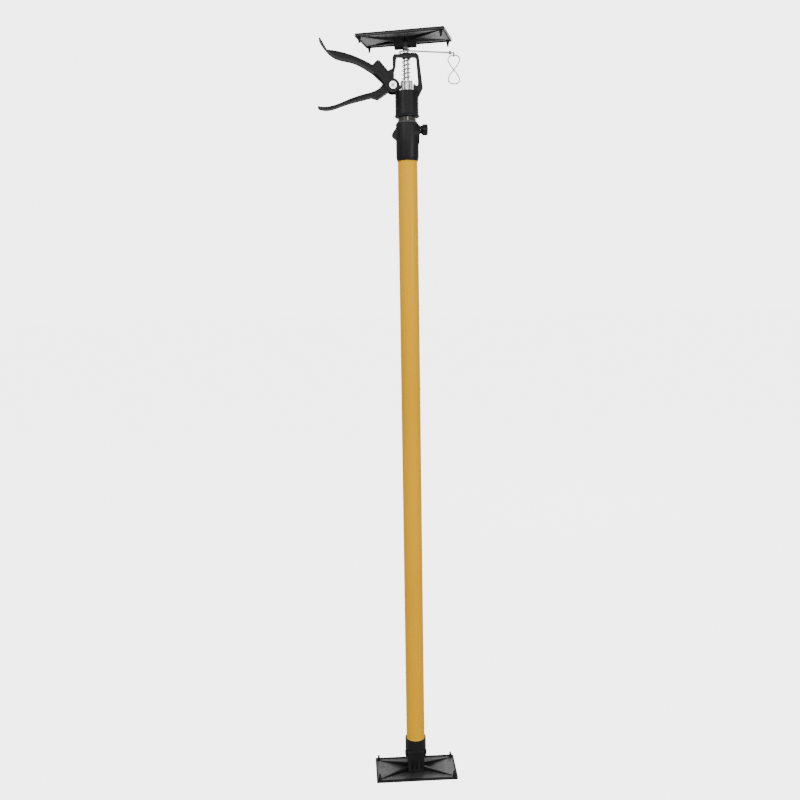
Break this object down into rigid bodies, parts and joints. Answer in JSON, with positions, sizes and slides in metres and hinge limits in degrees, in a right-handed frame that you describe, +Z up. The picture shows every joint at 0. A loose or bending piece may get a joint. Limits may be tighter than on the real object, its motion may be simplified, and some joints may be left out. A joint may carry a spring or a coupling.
{
  "type": "telescopic support prop",
  "caption": "Tall telescopic support prop: swivelling padded foot, clamp collar and screw, squeeze-handle jack head with sprung rod, padded top plate and wire hook.",
  "frame": {"origin": "middle of the foot pad's underside, on the pole's centre line", "axes": "+Z up the pole, X along the foot plate's long side with both squeeze handles at -X and the clamp knob at +X, Y across the foot plate"},
  "size_m": [0.2134, 0.1028, 1.169],
  "materials": {
    "yellow_enamel": "gloss",
    "black_enamel": "gloss",
    "black_nylon": "satin",
    "knob_plastic": "satin",
    "bush_plastic": "satin",
    "pad_rubber": "matte",
    "bright_steel": "bright zinc",
    "chromed_rod": "polished",
    "spring_steel": "bright"
  },
  "bodies": {
    "outer_pole": {"outer_tube": "yellow_enamel", "foot_socket": "black_nylon", "socket_rivet": "bright_steel", "clamp_collar": "black_nylon", "collar_rivet": "bright_steel", "clamp_nut": "bright_steel", "collar_bush": "bush_plastic"},
    "foot": {"foot_pad": "pad_rubber", "foot_plate": "black_nylon", "foot_pivot_pin": "black_enamel"},
    "clamp_feed": {"clamp_tip": "bright_steel"},
    "clamp_screw": {"clamp_knob": "knob_plastic", "clamp_stud": "bright_steel"},
    "pole_slider": {"lower_guide_bush": "bush_plastic"},
    "inner_pole": {"inner_tube": "black_enamel", "jack_body": "black_nylon", "sleeve_screw": "bright_steel", "tube_plug": "bright_steel", "crossbar_bush": "bush_plastic", "pivot_rivet": "bright_steel", "return_spring": "spring_steel", "holding_collet": "bright_steel"},
    "trigger": {"trigger_lever": "black_nylon"},
    "drive_unit": {"drive_collet": "bright_steel", "spring_washer": "bright_steel"},
    "rod": {"jack_rod": "chromed_rod", "rod_stop": "bright_steel"},
    "swivel_head": {"rod_head": "black_enamel"},
    "top": {"top_plate": "black_nylon", "top_pad": "pad_rubber", "top_pivot_pin": "black_enamel"},
    "hook_arm": {"wire_arm": "spring_steel"},
    "hook": {"figure_eight_hook": "spring_steel"}
  },
  "joints": [
    {"name": "foot_tilt", "type": "hinge", "parent": "outer_pole", "child": "foot", "pos_m": [0, 0, 0.032], "axis": [1, 0, 0], "range_deg": [-25, 25]},
    {"name": "clamp_feed_slide", "type": "slide", "parent": "outer_pole", "child": "clamp_feed", "axis": [1, 0, 0], "range_m": [0, 0.001]},
    {"name": "clamp_knob_turn", "type": "hinge", "parent": "clamp_feed", "child": "clamp_screw", "pos_m": [0.025, 0, 1.034], "axis": [1, 0, 0], "range_deg": [0, 360]},
    {"name": "pole_extension", "type": "slide", "parent": "outer_pole", "child": "pole_slider", "axis": [0, 0, 1], "range_m": [0, 0.78]},
    {"name": "pole_turn", "type": "hinge", "parent": "pole_slider", "child": "inner_pole", "pos_m": [0, 0, 1.06], "axis": [0, 0, 1], "range_deg": [-180, 180]},
    {"name": "trigger_squeeze", "type": "hinge", "parent": "inner_pole", "child": "trigger", "pos_m": [-0.021, 0, 1.0965], "axis": [0, -1, 0], "range_deg": [0, 25], "stiffness_Nm_per_rad": 1.3, "springref_deg": -14.32},
    {"name": "drive_lift", "type": "slide", "parent": "inner_pole", "child": "drive_unit", "axis": [0, 0, 1], "range_m": [0, 0.0055], "deforming": ["return_spring"]},
    {"name": "rod_lift", "type": "slide", "parent": "inner_pole", "child": "rod", "axis": [0, 0, 1], "range_m": [0, 0.057]},
    {"name": "head_swivel", "type": "hinge", "parent": "rod", "child": "swivel_head", "pos_m": [0, 0, 1.149], "axis": [0, 0, 1], "range_deg": [-180, 180]},
    {"name": "top_tilt", "type": "hinge", "parent": "swivel_head", "child": "top", "pos_m": [0, 0, 1.158], "axis": [0.9573, -0.289, 0], "range_deg": [-25, 25]},
    {"name": "hook_arm_turn", "type": "hinge", "parent": "inner_pole", "child": "hook_arm", "pos_m": [0, 0, 1.1454], "axis": [0, 0, 1], "range_deg": [-140, 140]},
    {"name": "hook_swing", "type": "hinge", "parent": "hook_arm", "child": "hook", "pos_m": [0.071, -0.002, 1.14105], "axis": [1, 0, 0], "range_deg": [-45, 45]}
  ],
  "couplings": [
    {"joint": "drive_lift", "follows": "trigger_squeeze", "m_per_rad": 0.012},
    {"joint": "clamp_knob_turn", "follows": "clamp_feed_slide", "rad_per_m": 6283}
  ]
}
